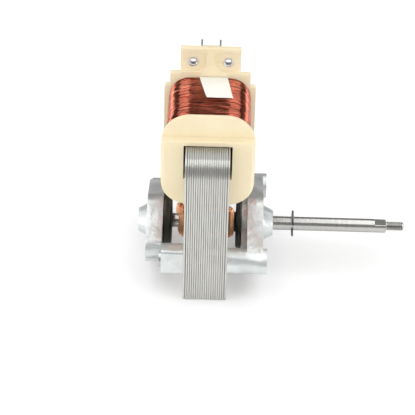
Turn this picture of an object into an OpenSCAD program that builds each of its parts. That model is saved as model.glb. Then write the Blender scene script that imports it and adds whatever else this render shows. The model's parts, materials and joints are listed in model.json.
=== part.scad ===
// Shaded-pole fan motor with a U-shaped laminated core.
// The origin is on the shaft axis, in the plane of the output bracket's mounting feet.
// +X runs along the shaft, towards its threaded end, and +Z runs up, towards the coil.

/* [Core] */
// Thickness of the laminated stack
stack_t = 18.6; // [12:0.2:30]
// Number of steel sheets in the stack
sheet_count = 20; // [10:1:40]
// Depth of the groove at each sheet joint
sheet_groove = 0.12; // [0.05:0.01:0.2]
// Overall depth of the core, across both legs
core_depth = 67.6; // [62:0.2:80]
// Width of each leg
leg_w = 12.5; // [11:0.1:16]
// Height of the leg tops above the shaft axis
leg_top = 53; // [48:0.5:70]
// Drop from the shaft axis to the bottom face of the core
core_drop = 17.8; // [16:0.2:24]
// Height of the pole block above the shaft axis
pole_top = 20; // [18:0.2:22]
// Rounding of the outer top corner of each leg
leg_top_r = 10.4; // [4:0.2:11]
// Rounding of the two bottom corners of the core
foot_r = 1.2; // [0.5:0.1:3]
// Step by which each leg is slimmer above the poles
leg_step = 0.6; // [0.2:0.1:1.2]
// Height of that step above the shaft axis
leg_step_z = 9.7; // [6:0.1:14]
// Width of the air slot between the two poles
pole_slot = 2.4; // [1.5:0.1:4]
// Steel left as a bridge at the bottom of the air slots
bridge_t = 1.2; // [0.8:0.1:2]
// Height of the laminated limb through the coil
limb_h = 16; // [12:0.5:18]

/* [Rotor] */
// Radius of the rotor
rotor_r = 12.65; // [11:0.05:13]
// Air gap between rotor and poles
air_gap = 0.35; // [0.25:0.05:0.6]
// Thickness of the cage's end rings
end_ring_t = 2; // [1:0.1:3]
// Number of cage bars
bar_count = 18; // [12:1:24]
// Radius of a cage bar
bar_r = 0.9; // [0.6:0.05:1]

/* [Shading rings] */
// Diameter of the copper wire
shade_wire = 2.3; // [1.6:0.1:2.6]
// Diameter of the welded joint at the top of a ring's far run
shade_joint = 3.4; // [2.8:0.1:3.8]
// Distance of the ring from the shaft axis, across the core
shade_y = 15; // [14.6:0.1:15.6]
// Height of the inner run, in the pole face
shade_low = 3.5; // [3:0.1:5]
// Height of the outer run, on the pole tip
shade_high = 17.3; // [15:0.1:17.5]
// Drop of the back ring's outer run below the shaft axis
shade_back_high = 15; // [13:0.1:15.4]

/* [Coil] */
// Width of the bobbin flanges
flange_w = 39.4; // [36:0.2:44]
// Height of the front flange's lowest point above the shaft axis
flange_low = 23.9; // [23:0.1:24.5]
// Height of the front flange's arch above the shaft axis
arch_top = 65.2; // [64:0.1:70]
// Rounding of the flange's arch
arch_r = 12.5; // [8:0.5:16]
// Rounding of the flange's lower corners
chin_r = 11.5; // [6:0.5:13]
// Thickness of the flange walls
flange_t = 1.5; // [1:0.1:2.5]
// Depth of the thick part of each flange, against the core's leg
flange_depth = 4.3; // [3.8:0.1:5]
// Rounding of the front flange's upright corners
flange_edge = 2; // [1:0.1:3]
// Wall of the bobbin's tube
tube_wall = 1.2; // [0.8:0.1:1.6]
// Side clearance between the limb and the bobbin
limb_gap = 0.9; // [0.3:0.1:1.2]
// Height of the ledge above the limb
ledge_h = 2.2; // [1.8:0.1:3]
// Height of the back flange's broad part above the shaft axis
broad_top = 59.1; // [57:0.1:61]
// Width of the back flange's narrower step
step_w = 34.5; // [30:0.5:38]
// Height of the winding's top above the shaft axis
winding_top = 63.6; // [61:0.1:64.4]
// Width of the winding
winding_w = 35.6; // [32:0.2:38]
// Height of the winding's underside above the shaft axis
winding_low = 27.4; // [26:0.1:30]
// Corner rounding of the winding
winding_r = 9.6; // [5:0.1:11]
// Width of the tape on the winding
tape_w = 11.8; // [8:0.2:16]
// Width of the tape at its front end
tape_front_w = 11.2; // [8:0.2:16]
// Length of the tape along the winding
tape_l = 17; // [10:0.5:24]
// Thickness of the tape
tape_t = 0.25; // [0.15:0.05:0.4]
// Sideways lean of the tape over its length
tape_lean = 2.8; // [0:0.1:5]
// Distance from the middle of the coil to the tape's left edge at the back
tape_left = 4.4; // [2:0.1:6]

/* [Terminals] */
// Width of the terminal block
block_w = 25.8; // [22:0.2:34]
// Height of the terminal block above the flange's step
block_h = 12.4; // [11.6:0.1:16]
// Thickness of the terminal block
block_t = 2.4; // [2:0.1:4]
// Depth of the two pockets in the block
pocket_d = 1.2; // [0.6:0.1:1.4]
// Height of the rim above the pockets
rim_h = 2.1; // [1.5:0.1:3]
// Width of the rib between the pockets
rib_w = 3.8; // [3:0.1:5]
// Rounding of the pockets' lower inner corners
pocket_r = 5.2; // [3:0.1:6]
// Distance between the two blades
blade_pitch = 7.9; // [7.6:0.1:9]
// Width of a blade
blade_w = 6.3; // [4.8:0.1:6.3]
// Thickness of a blade
blade_t = 0.8; // [0.5:0.1:0.8]
// Length of a blade behind the block
blade_l = 8.4; // [6:0.1:9]
// Distance between the two eyelets
eyelet_pitch = 15; // [14.6:0.1:16]
// Drop of the eyelets below the block's top
eyelet_drop = 7.2; // [6.6:0.1:7.8]
// Outer radius of an eyelet's flange
eyelet_r = 2.25; // [2:0.05:2.4]
// Radius of an eyelet's hole
eyelet_hole = 1.4; // [1:0.05:1.5]

/* [Brackets] */
// Length of the output bracket's feet, from the core to the mounting plane
foot_l = 17; // [15:0.1:20]
// Diameter of those feet
foot_d = 11; // [9:0.1:11.2]
// Distance of the screws from the outer faces of the core's legs
screw_inset = 5.2; // [5.2:0.1:6]
// Length of the rear bracket's feet
rear_foot_l = 9.6; // [9.2:0.1:13]
// Height of the rear bracket's feet
rear_foot_h = 12.3; // [11:0.1:13]
// Drop of the rear feet's undersides below the shaft axis
rear_foot_drop = 5.3; // [4.6:0.1:5.6]
// Rounding of the front upper edge of a rear foot
rear_foot_edge = 1.5; // [0.5:0.1:2.5]
// Rounding of the front lower edge of a rear foot
rear_foot_low_r = 2; // [1:0.1:4]
// Thickness of the rear bracket's arms
arm_t = 6.9; // [5:0.1:8]
// Length of the output bracket's arms along the shaft
output_arm_t = 6.9; // [5:0.1:7.2]
// Step back from the mounting face of the output feet to the arms
arm_set = 1.7; // [1:0.1:2.5]
// Length of the ring that carries the output cap
seat_ring_l = 2.4; // [2:0.1:3]
// Height of the rib on the inner side of each output arm
arm_rib_h = 6; // [3:0.1:8]
// Radius of the bearing housings
housing_r = 12.4; // [12:0.1:13.5]
// Wall of the bearing housings
housing_wall = 2.6; // [2:0.1:3.5]
// Radius of the output boss where it leaves the arms
boss_r = 7.85; // [7:0.05:9]
// Radius of the output boss at its end
boss_end_r = 5.5; // [5:0.05:6.5]
// Radius of the rear boss at the bracket
rear_boss_r = 7.2; // [6.6:0.1:8]
// Radius of the rear boss at its end
rear_boss_end_r = 5.1; // [4.6:0.1:6]
// Length of the output boss
boss_l = 4.4; // [3:0.1:6]
// Length of the rear boss
rear_boss_l = 3.9; // [3:0.1:6]
// Diameter of the screws
screw_d = 4; // [3:0.1:4.2]
// Diameter of the mounting holes' bores
mount_hole_d = 3.3; // [2.5:0.1:4.2]
// Depth of the mounting holes
mount_hole_l = 8; // [5:0.1:9]

/* [Bearings] */
// Length of a bearing bush
bush_l = 7; // [5:0.1:8]
// Largest radius of a bearing bush
bush_r = 5.2; // [4.8:0.1:6]
// Radius of the black bearing caps
cap_r = 11.7; // [10.5:0.1:12]
// Depth of the output cap
cap_l = 2.5; // [2.4:0.1:4]
// Depth of the rear cap
rear_cap_l = 3.8; // [3.4:0.1:5]
// Rounding of the output cap's rim
cap_rim = 1.4; // [1:0.1:1.5]
// Rounding of the rear cap's rim
rear_cap_rim = 2.4; // [1:0.1:2.5]
// Wall of the caps
cap_wall = 0.8; // [0.5:0.1:1.2]
// Running clearance of the shaft in the bushes
run_gap = 0.04; // [0.02:0.01:0.08]

/* [Shaft] */
// Diameter of the shaft
shaft_d = 6; // [5:0.1:6.5]
// Reach of the shaft past the mounting plane
shaft_out = 60.1; // [40:0.1:120]
// Length of the threaded end
thread_l = 7.7; // [5:0.1:12]
// Diameter of the threaded end
thread_d = 4.16; // [3:0.01:4.4]
// Length of the flat
flat_l = 5; // [3:0.1:12]
// Depth of the flat
flat_d = 1.1; // [0.4:0.1:1.3]
// Distance from the mounting plane to the clip
clip_x = 11.4; // [8:0.1:20]
// Outer diameter of the clip
clip_d = 11.4; // [9:0.1:13]
// Thickness of the clip
clip_t = 0.7; // [0.5:0.1:1]
// Diameter of the groove that holds the clip
groove_d = 5; // [4:0.1:5.2]
// Radius of the black collars on the shaft
collar_r = 4.4; // [4:0.1:5]

/* [Hidden] */
$fn = 48;

// Clearance of pieces that are pressed or laid together
fit = 0.02;
// Small clearance round loose pieces
slack = 0.15;
// Overlap of cutting bodies past the faces they cut
over = 1;

stack_out = -foot_l;
stack_mid = stack_out - stack_t / 2;
stack_in = stack_out - stack_t;
leg_out = core_depth / 2;
leg_in = leg_out - leg_w;
bore_r = rotor_r + air_gap;
screw_y = leg_out - screw_inset;
shaft_r = shaft_d / 2;

limb_low = leg_top - limb_h;
window_w = stack_t + 2 * limb_gap;
window_low = limb_low - 0.3;
window_top = leg_top + 0.2;
tube_w = window_w + 2 * tube_wall;
tube_low = window_low - tube_wall;
tube_top = window_top + tube_wall;
ledge_top = leg_top + ledge_h;
front_wall = leg_in - flange_depth;
back_wall = leg_in - flange_depth;
step_top = arch_top;
block_top = step_top + block_h;
eyelet_z = block_top - eyelet_drop;
eyelet_lip = 0.4;
eyelet_wall_r = eyelet_hole + 0.4;

plate_back = back_wall + block_t;
pocket_y = back_wall + pocket_d;
blade_top = block_top - 1.3;
blade_low = blade_top - blade_w;
block_side = block_w / 2;
blade_in = blade_pitch / 2 - blade_t / 2;
holder_w = 2 * (blade_in - fit);
base_w = eyelet_pitch / 2 + eyelet_r - blade_in;

output_arm_x = -arm_set - output_arm_t;
rear_arm_x = stack_in - rear_foot_l;
rear_back = rear_arm_x - arm_t;
rotor_half = stack_t / 2 - end_ring_t;
housing_in = housing_r - housing_wall;
output_seat = output_arm_x - seat_ring_l;
rear_seat = rear_arm_x;
washer_t = 0.5;
head_r = 3.4;
housing_bore = housing_in - housing_wall + 0.6;
seat_r = bush_r - 0.1;
seat_end_r = bush_r - 1.3;
seat_l = 2.4;
seat_angle = atan2(seat_r - seat_end_r, seat_l);
bush_back = (bush_r + fit - seat_r * cos(seat_angle)) / sin(seat_angle);
output_cone_x = output_arm_x + output_arm_t - 0.4;
end_wall = 1.6;
rear_cone_x = rear_back + end_wall;
output_bush_x = output_cone_x - bush_back;
rear_bush_x = rear_cone_x + bush_back;
output_thrust_x = output_bush_x - bush_l / 2 - 0.2;
rear_thrust_x = rear_bush_x + bush_l / 2 + 0.2;
felt_l = 5;
arm_end_r = 6.5;
arm_end_y = screw_y - arm_end_r - 2.5;
head_h = 2.4;
screw_grip = 6;
head_sunk = 1.5;
lip = 1.6;
holder_l = 3;
joint_lap = 0.01;

// Places a child drawn in X-Y so that it lies in the Y-Z plane and grows along +X.
module across() {
    rotate([90, 0, 90]) children();
}

// Rod along X from x0 to x1.
module rod(x0, x1, r) {
    translate([x0, 0, 0]) rotate([0, 90, 0]) cylinder(h = x1 - x0, r = r);
}

// Cone along X from x0 to x1.
module taper(x0, x1, r0, r1) {
    translate([x0, 0, 0]) rotate([0, 90, 0]) cylinder(h = x1 - x0, r1 = r0, r2 = r1);
}

// Body of revolution about X, from a profile drawn with x as the radius and y along the shaft.
module turned(x0) {
    translate([x0, 0, 0]) rotate([0, 90, 0]) rotate_extrude($fn = 96) children();
}

// Rectangle whose top and bottom corners have their own roundings.
module rounded_panel(w, low, high, low_r, high_r) {
    translate([-w / 2, low + low_r]) square([w, high - low - low_r - high_r]);
    translate([-w / 2 + low_r, low]) square([w - 2 * low_r, low_r + 0.01]);
    translate([-w / 2 + high_r, high - high_r - 0.01]) square([w - 2 * high_r, high_r + 0.01]);
    for (side = [-1, 1]) {
        translate([side * (w / 2 - low_r), low + low_r]) circle(r = low_r, $fn = 64);
        translate([side * (w / 2 - high_r), high - high_r]) circle(r = high_r, $fn = 64);
    }
}

// Outline of the core in the Y-Z plane, drawn smaller all round by inset.
module core_outline(inset) {
    out = leg_out - inset;
    top = leg_top;
    r = leg_top_r - inset;
    low = -core_drop + inset;
    difference() {
        union() {
            translate([-out, low + foot_r]) square([2 * out, leg_step_z - 1.5 - low - foot_r]);
            translate([-out + foot_r, low]) square([2 * (out - foot_r), foot_r + 0.01]);
            for (side = [-1, 1]) {
                translate([side * (out - foot_r), low + foot_r]) circle(r = foot_r);
                translate([side * (out - leg_step - r), top - inset - r]) circle(r = r, $fn = 64);
            }
            polygon([
                [-out, leg_step_z - 1.5], [out, leg_step_z - 1.5],
                [out - leg_step, leg_step_z + 1.5], [-out + leg_step, leg_step_z + 1.5]
            ]);
            translate([-out + leg_step, leg_step_z + 1.4])
                square([2 * (out - leg_step), top - inset - r - leg_step_z - 1.4]);
            translate([-out + leg_step + r, top - inset - r - 0.01])
                square([2 * (out - leg_step - r), r + 0.01]);
        }
        translate([-leg_in - inset, pole_top]) square([2 * (leg_in + inset), leg_top]);
    }
}

// Openings in every sheet: rotor bore, air slots, shading slots and screw holes.
module core_holes() {
    circle(r = bore_r, $fn = 96);
    translate([-pole_slot / 2, bore_r - 1]) square([pole_slot, pole_top]);
    translate([-pole_slot / 2, -core_drop + bridge_t]) square([pole_slot, core_drop - bridge_t]);
    for (turn = [0, 180]) {
        rotate(turn) {
            slot = shade_wire + 2 * slack;
            translate([-shade_y, shade_low]) circle(d = slot);
            translate([-shade_y, shade_low - slot / 2]) square([shade_y - bore_r * 0.7, slot]);
        }
    }
    translate([-shade_y, shade_high]) circle(d = shade_wire + 2 * slack);
    translate([-shade_y - shade_wire / 2 - slack, shade_high])
        square([shade_wire + 2 * slack, pole_top]);
    translate([shade_y, -shade_back_high]) circle(d = shade_wire + 2 * slack);
    for (side = [-1, 1]) {
        translate([side * screw_y, 0]) circle(d = screw_d + 2 * slack);
    }
}

// Laminated U-shaped core: two legs on a pole block with the rotor bore.
module stator_core() {
    pitch = stack_t / sheet_count;
    color("silver") difference() {
        translate([stack_in, 0, 0]) across() linear_extrude(stack_t) difference() {
            core_outline(0);
            core_holes();
        }
        for (joint = [1 : sheet_count - 1]) {
            translate([stack_in + joint * pitch - sheet_groove / 2, 0, 0]) across()
                linear_extrude(sheet_groove) difference() {
                    translate([-core_depth, -core_drop - over])
                        square([2 * core_depth, core_drop + leg_top + 2 * over]);
                    core_outline(sheet_groove);
                    translate([-leg_in - sheet_groove, pole_top - over])
                        square([2 * (leg_in + sheet_groove), leg_top]);
                }
        }
    }
}

// Straight laminated limb that closes the core through the coil.
module coil_core() {
    color("silver") translate([stack_in, -leg_in + fit, limb_low])
        cube([stack_t, 2 * (leg_in - fit), limb_h]);
}

// Outline of the front flange in the X-Z plane.
module flange_outline(high, high_r) {
    rounded_panel(flange_w, flange_low, high, chin_r, high_r);
}

// Slab between two depths, from an outline drawn in X-Z about the middle of the stack.
module slab(y0, y1) {
    translate([stack_mid, y1, 0]) rotate([90, 0, 0]) linear_extrude(y1 - y0) children();
}

// Pocket in the face of the terminal block, open at the block's side.
module pocket(side) {
    x0 = rib_w / 2;
    low = step_top + 0.6;
    high = block_top - rim_h;
    w = block_side + over - x0;
    mirror([side > 0 ? 0 : 1, 0]) {
        translate([x0 + pocket_r, low]) square([w - pocket_r, high - low]);
        translate([x0, low + pocket_r]) square([w, high - low - pocket_r]);
        translate([x0 + pocket_r, low + pocket_r]) circle(r = pocket_r);
    }
}

// Thick part of the front flange below the ledge, with rounded upright corners.
module front_collar() {
    intersection() {
        slab(-leg_in, -front_wall) intersection() {
            flange_outline(arch_top, arch_r);
            translate([-flange_w / 2, 0]) square([flange_w, ledge_top]);
        }
        translate([stack_mid, -leg_in, 0]) linear_extrude(ledge_top + over) {
            translate([-flange_w / 2, flange_edge]) square([flange_w, flange_depth]);
            translate([-flange_w / 2 + flange_edge, 0]) square([flange_w - 2 * flange_edge, flange_depth]);
            for (side = [-1, 1]) {
                translate([side * (flange_w / 2 - flange_edge), flange_edge]) circle(r = flange_edge);
            }
        }
    }
}

// Moulded coil former with the terminal block on its back flange.
module bobbin() {
    color("wheat") difference() {
        union() {
            slab(-front_wall, -front_wall + flange_t) flange_outline(arch_top, arch_r);
            front_collar();
            slab(-front_wall + flange_t - joint_lap, back_wall + joint_lap)
                translate([-tube_w / 2, tube_low]) square([tube_w, tube_top - tube_low]);
            slab(back_wall, plate_back) {
                flange_outline(broad_top, 1.5);
                translate([-step_w / 2, broad_top - 2]) square([step_w, step_top - broad_top + 2]);
                translate([-block_side, step_top - 1]) square([block_w, block_top - step_top + 1]);
            }
            slab(plate_back - joint_lap, leg_in) intersection() {
                flange_outline(broad_top, 1.5);
                translate([-flange_w / 2, 0]) square([flange_w, ledge_top]);
            }
            slab(plate_back - joint_lap, plate_back + holder_l)
                translate([-holder_w / 2, blade_low - 1]) square([holder_w, blade_w + 0.9]);
        }
        slab(-leg_in - over, leg_in + over)
            translate([-window_w / 2, window_low]) square([window_w, window_top - window_low]);
        slab(back_wall - over, pocket_y) {
            pocket(1);
            pocket(-1);
        }
        for (side = [-1, 1]) {
            translate([stack_mid + side * eyelet_pitch / 2, back_wall - over, eyelet_z])
                rotate([-90, 0, 0]) cylinder(h = block_t + 2 * over, r = eyelet_wall_r + fit);
        }
    }
}

// Enamelled wire coil, as one closed body with the tube of the bobbin inside it.
module winding() {
    color("firebrick") slab(-front_wall + flange_t + fit, back_wall - fit) difference() {
        rounded_panel(winding_w, winding_low, winding_top, winding_r, winding_r);
        translate([-tube_w / 2 - fit, tube_low - fit])
            square([tube_w + 2 * fit, tube_top - tube_low + 2 * fit]);
    }
}

// Blank tape that holds the end of the wire.
module winding_tape() {
    back = back_wall - 0.2;
    color("ivory") translate([stack_mid, 0, winding_top + fit]) linear_extrude(tape_t) polygon([
        [-tape_left, back], [-tape_left + tape_w, back],
        [-tape_left + tape_w + tape_lean, back - tape_l],
        [-tape_left + tape_w + tape_lean - tape_front_w, back - tape_l]
    ]);
}

// Upright blade that points back, with a chamfered tip and a hole.
module blade() {
    tip = 1.2;
    difference() {
        cube([blade_t, blade_l, blade_w]);
        translate([-over, blade_l - tip, blade_w]) rotate([-20, 0, 0])
            cube([blade_t + 2 * over, 2 * tip, 2 * tip]);
        translate([-over, blade_l - tip, 0]) rotate([-70, 0, 0])
            cube([blade_t + 2 * over, 2 * tip, 2 * tip]);
        translate([-over, blade_l / 2 + 0.6, blade_w / 2]) rotate([0, 90, 0])
            cylinder(h = blade_t + 2 * over, r = 0.8);
    }
}

// Terminal of one side: a base held by the eyelet, with the blade bent up from its inner edge.
module terminal(side) {
    color("lightgray") translate([stack_mid, plate_back + fit, 0]) mirror([side > 0 ? 0 : 1, 0, 0])
        difference() {
            translate([blade_in, 0, blade_low]) {
                cube([base_w, blade_t, blade_w]);
                blade();
            }
            translate([eyelet_pitch / 2, -over, eyelet_z]) rotate([-90, 0, 0])
                cylinder(h = blade_t + 2 * over, r = eyelet_wall_r + fit);
        }
}

module terminal_left() { terminal(-1); }
module terminal_right() { terminal(1); }

// Hollow rivet that clamps a terminal's base to the block.
module eyelet(side) {
    grip = plate_back + fit + blade_t - pocket_y;
    color("lightgray") translate([stack_mid + side * eyelet_pitch / 2, pocket_y, eyelet_z])
        rotate([-90, 0, 0]) difference() {
            union() {
                translate([0, 0, -eyelet_lip - fit]) cylinder(h = eyelet_lip, r = eyelet_r);
                translate([0, 0, -eyelet_lip - fit])
                    cylinder(h = grip + 2 * (eyelet_lip + fit), r = eyelet_wall_r);
                translate([0, 0, grip + fit]) cylinder(h = eyelet_lip, r = eyelet_r - 0.1);
            }
            translate([0, 0, -over]) cylinder(h = grip + 3 * over, r = eyelet_hole);
        }
}

module eyelet_left() { eyelet(-1); }
module eyelet_right() { eyelet(1); }

// Quarter of a bent wire's corner, in the X-Z plane, with the bend's centre at the origin.
module wire_bend(turn, r) {
    rotate([90, turn, 0]) rotate_extrude(angle = 90, $fn = 48)
        translate([r, 0]) circle(d = shade_wire, $fn = 32);
}

// Closed copper ring through the stack, round one pole tip.
module shading_ring(low, high) {
    bend = shade_wire / 2 + 0.5;
    face_gap = 0.3;
    joint_l = 2.6;
    x1 = stack_out + face_gap + shade_wire / 2;
    x0 = stack_in - face_gap - shade_wire / 2;
    for (z = [low, high]) {
        translate([0, -shade_y, z]) rod(x0 + bend, x1 - bend, shade_wire / 2);
    }
    for (x = [x0, x1]) {
        translate([x, -shade_y, low + bend]) cylinder(h = high - low - 2 * bend, d = shade_wire);
    }
    translate([x1 - bend, -shade_y, high - bend]) wire_bend(0, bend);
    translate([x1 - bend, -shade_y, low + bend]) wire_bend(90, bend);
    translate([x0 + bend, -shade_y, high - bend]) wire_bend(-90, bend);
    translate([x0 + bend, -shade_y, low + bend]) wire_bend(180, bend);
    translate([x0 - (shade_joint - shade_wire) / 2, -shade_y, high - shade_joint / 2]) {
        cylinder(h = joint_l, d = shade_joint);
        sphere(d = shade_joint);
        translate([0, 0, joint_l]) sphere(d = shade_joint);
    }
}

module shading_ring_front() {
    color("peru") shading_ring(shade_low, shade_high);
}

module shading_ring_back() {
    color("peru") rotate([180, 0, 0]) shading_ring(shade_low, shade_back_high);
}

// Outline of a bracket in the Y-Z plane: arms that taper from the housing to their round ends.
module arm_outline(end_y, end_r) {
    lean = asin((housing_r - end_r) / end_y);
    circle(r = housing_r, $fn = 96);
    for (side = [-1, 1]) {
        translate([side * end_y, 0]) circle(r = end_r, $fn = 64);
        polygon([
            [side * housing_r * sin(lean), housing_r * cos(lean)],
            [side * (end_y + end_r * sin(lean)), end_r * cos(lean)],
            [side * (end_y + end_r * sin(lean)), -end_r * cos(lean)],
            [side * housing_r * sin(lean), -housing_r * cos(lean)],
            [0, 0]
        ]);
    }
}

// Cast bracket on the shaft side, with two round feet and a conical boss.
module output_bracket() {
    color("darkgray") difference() {
        union() {
            translate([output_arm_x, 0, 0]) across() linear_extrude(output_arm_t)
                arm_outline(screw_y, foot_d / 2);
            for (side = [-1, 1]) {
                translate([0, side * screw_y, 0]) rod(stack_out, 0, foot_d / 2);
            }
            translate([output_seat, -screw_y, -arm_rib_h / 2])
                cube([seat_ring_l + joint_lap, 2 * screw_y, arm_rib_h]);
            rod(output_seat, output_arm_x + joint_lap, housing_in - 0.2);
            taper(-arm_set - joint_lap, -arm_set + boss_l, boss_r, boss_end_r);
        }
        rod(output_seat - over, output_cone_x, housing_bore);
        taper(output_cone_x, output_cone_x + seat_l, seat_r, seat_end_r);
        rod(output_cone_x, boss_l + over, shaft_r + 0.5);
        for (side = [-1, 1]) {
            translate([0, side * screw_y, 0]) {
                rod(stack_out - over, stack_out + screw_grip + 0.4, screw_d / 2 + fit);
                rod(-mount_hole_l, over, mount_hole_d / 2);
            }
        }
    }
}

// Section of a rear foot about the screw: round at the back, flat in front, with rounded edges.
module rear_foot_outline() {
    r = rear_foot_h / 2;
    front = leg_out - 0.5 - screw_y;
    translate([0, r - rear_foot_drop]) {
        intersection() {
            circle(r = r, $fn = 64);
            translate([-r - over, -r - over]) square([r + over + joint_lap, 2 * (r + over)]);
        }
        translate([0, -r]) square([front - rear_foot_low_r, r]);
        translate([0, rear_foot_low_r - r]) square([front, 2 * r - rear_foot_low_r - rear_foot_edge]);
        square([front - rear_foot_edge, r]);
        translate([front - rear_foot_low_r, rear_foot_low_r - r]) circle(r = rear_foot_low_r);
        translate([front - rear_foot_edge, r - rear_foot_edge]) circle(r = rear_foot_edge);
    }
}

// Cast bracket on the far side, with two deep feet and a blunt boss.
module rear_bracket() {
    web_l = 4.5;
    web_y = screw_y - 8.6;
    web_low = -rear_foot_drop + 0.4;
    color("darkgray") difference() {
        union() {
            translate([rear_back, 0, 0]) across() linear_extrude(arm_t)
                arm_outline(arm_end_y, arm_end_r);
            for (side = [0, 1]) {
                mirror([0, side, 0]) {
                    translate([rear_arm_x - joint_lap, screw_y, 0]) across()
                        linear_extrude(rear_foot_l + joint_lap) rear_foot_outline();
                    translate([rear_back + 1, web_y, web_low])
                        cube([arm_t - 1 + joint_lap, web_l, rear_foot_h - 2]);
                }
            }
            taper(rear_back - rear_boss_l, rear_back + joint_lap, rear_boss_end_r, rear_boss_r);
        }
        rod(rear_cone_x, rear_seat + over, housing_bore);
        taper(rear_cone_x - seat_l, rear_cone_x, seat_end_r, seat_r);
        rod(rear_back - rear_boss_l + end_wall, rear_cone_x, shaft_r + 0.5);
        for (side = [-1, 1]) {
            translate([0, side * screw_y, 0]) {
                rod(rear_arm_x - over, stack_in + over, screw_d / 2 + slack);
                rod(rear_back - over, rear_arm_x + head_sunk, head_r + 0.3);
            }
        }
    }
}

// Sintered bush with a spherical seat.
module bush(x_mid) {
    half = bush_l / 2;
    color("tan") turned(x_mid) intersection() {
        circle(r = bush_r, $fn = 96);
        translate([shaft_r + run_gap, -half]) square([bush_r, bush_l]);
    }
}

module output_bearing() { bush(output_bush_x); }
module rear_bearing() { bush(rear_bush_x); }

// Oil felt round a bush.
module felt(x0) {
    color("khaki") turned(x0) translate([bush_r + 0.1, 0])
        square([housing_bore - slack - bush_r - 0.1, felt_l]);
}

module output_felt() { felt(output_cone_x - 0.3 - felt_l); }
module rear_felt() { felt(rear_cone_x + 0.3); }

// Profile of a black sheet cap that closes a housing: seat lip, skirt, rounded rim and face.
module cap(depth, lip_r, rim) {
    hole = collar_r + 0.5;
    translate([lip_r, 0]) square([cap_r - lip_r, cap_wall]);
    translate([cap_r - cap_wall, 0]) square([cap_wall, depth - rim]);
    translate([hole, depth - cap_wall]) square([cap_r - rim - hole, cap_wall]);
    translate([cap_r - rim, depth - rim]) intersection() {
        difference() {
            circle(r = rim, $fn = 32);
            circle(r = rim - cap_wall, $fn = 32);
        }
        square(rim);
    }
}

module output_cap() {
    color("#202020") translate([output_seat, 0, 0]) mirror([1, 0, 0]) turned(fit)
        cap(cap_l - fit, housing_in - lip, cap_rim);
}

module rear_cap() {
    color("#202020") translate([rear_seat, 0, 0]) turned(fit)
        cap(rear_cap_l - fit, housing_in - lip, rear_cap_rim);
}

// Two long screws that clamp both brackets to the core.
module through_screws() {
    color("gray") for (side = [-1, 1]) {
        translate([0, side * screw_y, 0]) {
            rod(rear_arm_x + head_sunk - head_h, rear_arm_x + head_sunk - fit, head_r);
            rod(rear_arm_x + head_sunk - fit - joint_lap, stack_out + screw_grip, screw_d / 2);
        }
    }
}

// Stack of rotor sheets with holes for the cage bars.
module rotor_core() {
    color("dimgray") difference() {
        translate([stack_mid, 0, 0]) rod(-rotor_half, rotor_half, rotor_r);
        translate([stack_mid, 0, 0]) rod(-rotor_half - over, rotor_half + over, shaft_r + fit);
        for (bar = [0 : bar_count - 1]) {
            rotate([bar * 360 / bar_count, 0, 0]) translate([stack_mid, 0, rotor_r - bar_r - 0.3])
                rod(-rotor_half - over, rotor_half + over, bar_r + fit);
        }
    }
}

// Cast cage: two end rings joined by the bars.
module rotor_cage() {
    ring_r = rotor_r - 0.4;
    color("gainsboro") {
        for (side = [-1, 1]) {
            translate([stack_mid + side * (rotor_half + fit + end_ring_t / 2 - fit / 2), 0, 0])
                difference() {
                    rod(-end_ring_t / 2 + fit / 2, end_ring_t / 2 - fit / 2, ring_r);
                    rod(-end_ring_t, end_ring_t, rotor_r - 2 * bar_r - 1.6);
                }
        }
        for (bar = [0 : bar_count - 1]) {
            rotate([bar * 360 / bar_count, 0, 0]) translate([stack_mid, 0, rotor_r - bar_r - 0.3])
                rod(-rotor_half - 0.5, rotor_half + 0.5, bar_r);
        }
    }
}

// Black collars that space the rotor from its bearings.
module collar(x0, x1) {
    color("#1c1c1c") difference() {
        rod(x0, x1, collar_r);
        rod(x0 - over, x1 + over, shaft_r + fit);
    }
}

module output_collar() {
    collar(stack_mid + rotor_half + fit, output_thrust_x - washer_t - fit);
}

module rear_collar() {
    collar(stack_in - 2.2, stack_mid - rotor_half - fit);
}

// Thin washers that take the end thrust at each bush.
module thrust_washers() {
    color("lightgray") for (x = [output_thrust_x - washer_t, rear_thrust_x]) {
        difference() {
            rod(x, x + washer_t, collar_r);
            rod(x - over, x + 2 * over, shaft_r + fit);
        }
    }
}

// Ground shaft with a clip groove, a flat and a threaded end.
module shaft() {
    rear_end = rear_back - rear_boss_l + 2;
    shoulder = shaft_out - thread_l;
    color("lightsteelblue") difference() {
        union() {
            taper(rear_end, rear_end + 0.5, shaft_r - 0.5, shaft_r);
            rod(rear_end + 0.49, shoulder - 0.3, shaft_r);
            taper(shoulder - 0.31, shoulder, shaft_r, shaft_r - 0.3);
            rod(shoulder - 0.1, shaft_out - 0.6, thread_d / 2);
            taper(shaft_out - 0.61, shaft_out, thread_d / 2, thread_d / 2 - 0.6);
        }
        translate([clip_x - clip_t / 2 - fit, 0, 0]) difference() {
            rod(0, clip_t + 2 * fit, shaft_r + over);
            rod(-over, clip_t + over, groove_d / 2);
        }
        translate([shoulder - flat_l, -shaft_d, shaft_r - flat_d])
            cube([flat_l + 0.01, 2 * shaft_d, shaft_d]);
    }
}

// Snap clip in the shaft's groove, open towards the flange with the ledge.
module retaining_clip() {
    prong_w = 2.2;
    band_w = 1.6;
    mouth = groove_d + 2 * fit;
    color("dimgray") translate([clip_x - clip_t / 2, 0, 0]) across() linear_extrude(clip_t)
        difference() {
            circle(d = clip_d);
            circle(d = mouth);
            difference() {
                circle(d = clip_d - 2 * band_w);
                for (turn = [-115, 0, 115]) {
                    rotate(turn) translate([0, -prong_w / 2]) square([clip_d / 2, prong_w]);
                }
            }
            translate([-clip_d, -mouth / 2]) square([clip_d, mouth]);
        }
}

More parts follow.
